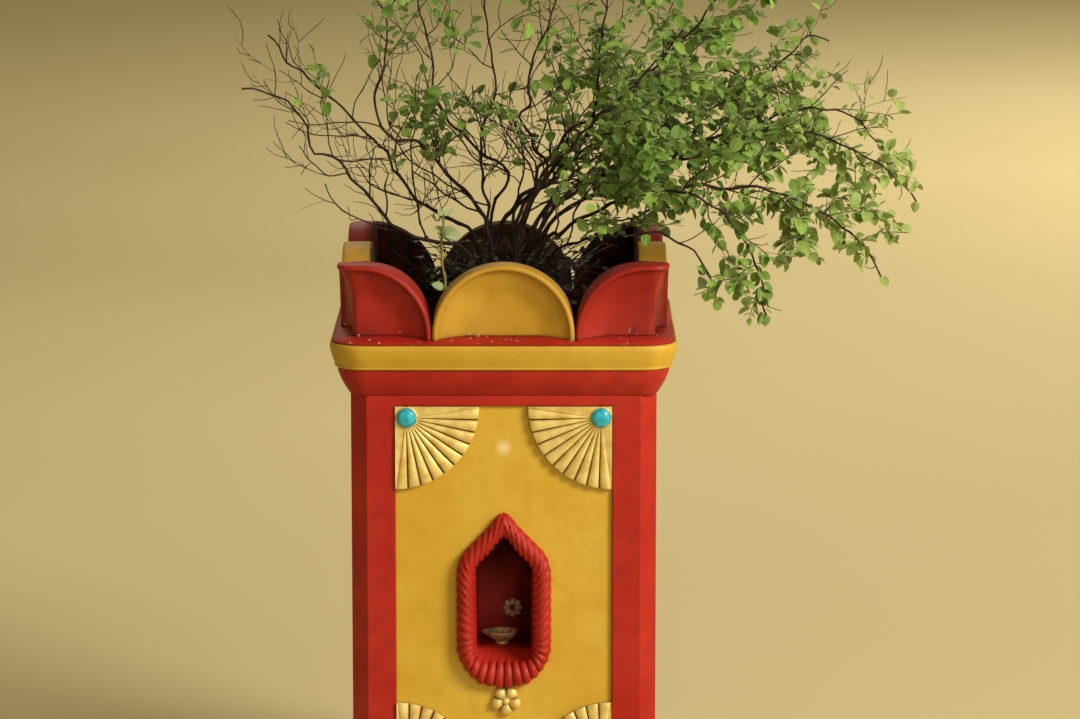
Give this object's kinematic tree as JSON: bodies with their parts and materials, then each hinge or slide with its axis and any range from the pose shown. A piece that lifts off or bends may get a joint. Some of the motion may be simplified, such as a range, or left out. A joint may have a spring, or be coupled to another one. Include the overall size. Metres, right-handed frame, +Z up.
{
  "type": "potted basil plant",
  "caption": "Many-stemmed holy basil bush in a tall square pedestal planter with a lotus-petal rim, ribbed corner fans and a small pointed lamp niche.",
  "frame": {"origin": "centre of the plinth's underside, where the pot stands on the ground", "axes": "+Z up along the pot's axis; -Y is the front with the lamp niche; +X is to the right as seen from the front"},
  "size_m": [0.8771, 0.5662, 1.1694],
  "materials": {
    "plinth": "red paint on cast cement",
    "pillar": "red paint on cast cement",
    "panel_front": "yellow paint on cast cement",
    "panel_right": "yellow paint on cast cement",
    "panel_back": "yellow paint on cast cement",
    "panel_left": "yellow paint on cast cement",
    "cornice": "red paint on cast cement",
    "rim_band": "yellow paint on cast cement",
    "rim_ledge": "red paint on cast cement",
    "petal_front": "yellow paint on cast cement",
    "petal_right": "yellow paint on cast cement",
    "petal_back": "yellow paint on cast cement",
    "petal_left": "yellow paint on cast cement",
    "petal_front_right": "red paint on cast cement",
    "petal_back_right": "red paint on cast cement",
    "petal_back_left": "red paint on cast cement",
    "petal_front_left": "red paint on cast cement",
    "fan_top_left": "gold paint on cast cement",
    "fan_top_right": "gold paint on cast cement",
    "fan_low_left": "gold paint on cast cement",
    "fan_low_right": "gold paint on cast cement",
    "bead_top_left": "turquoise enamel",
    "bead_top_right": "turquoise enamel",
    "bead_low_left": "turquoise enamel",
    "bead_low_right": "turquoise enamel",
    "gold_flower": "gold paint on cast cement",
    "niche": "red paint on cast cement",
    "niche_rosette": "pale paint on cast plaster",
    "diya": "tarnished brass",
    "soil": "damp potting soil",
    "stem_low_left": "brown bark with green leaves",
    "stem_left": "brown bark with green leaves",
    "stem_upper_left": "brown bark with green leaves",
    "stem_crossing": "brown bark with green leaves",
    "stem_inner": "brown bark with green leaves",
    "stem_main": "brown bark with green leaves",
    "stem_right": "brown bark with green leaves",
    "stem_front_right": "brown bark with green leaves",
    "stem_back_right": "brown bark with green leaves",
    "stem_high_right": "brown bark with green leaves",
    "stem_middle": "brown bark with green leaves",
    "stem_low_right": "brown bark with green leaves",
    "stem_front": "brown bark with green leaves",
    "stem_back": "brown bark with green leaves",
    "stem_far_right": "brown bark with green leaves",
    "stem_far_back": "brown bark with green leaves",
    "green_shoot": "green stalk"
  },
  "bodies": {
    "root": {"plinth": "plinth", "pillar": "pillar", "panel_front": "panel_front", "panel_right": "panel_right", "panel_back": "panel_back", "panel_left": "panel_left", "cornice": "cornice", "rim_band": "rim_band", "rim_ledge": "rim_ledge", "petal_front": "petal_front", "petal_right": "petal_right", "petal_back": "petal_back", "petal_left": "petal_left", "petal_front_right": "petal_front_right", "petal_back_right": "petal_back_right", "petal_back_left": "petal_back_left", "petal_front_left": "petal_front_left", "fan_top_left": "fan_top_left", "fan_top_right": "fan_top_right", "fan_low_left": "fan_low_left", "fan_low_right": "fan_low_right", "bead_top_left": "bead_top_left", "bead_top_right": "bead_top_right", "bead_low_left": "bead_low_left", "bead_low_right": "bead_low_right", "gold_flower": "gold_flower", "niche": "niche", "niche_rosette": "niche_rosette", "diya": "diya", "soil": "soil", "stem_low_left": "stem_low_left", "stem_left": "stem_left", "stem_upper_left": "stem_upper_left", "stem_crossing": "stem_crossing", "stem_inner": "stem_inner", "stem_main": "stem_main", "stem_right": "stem_right", "stem_front_right": "stem_front_right", "stem_back_right": "stem_back_right", "stem_high_right": "stem_high_right", "stem_middle": "stem_middle", "stem_low_right": "stem_low_right", "stem_front": "stem_front", "stem_back": "stem_back", "stem_far_right": "stem_far_right", "stem_far_back": "stem_far_back", "green_shoot": "green_shoot"}
  },
  "joints": []
}
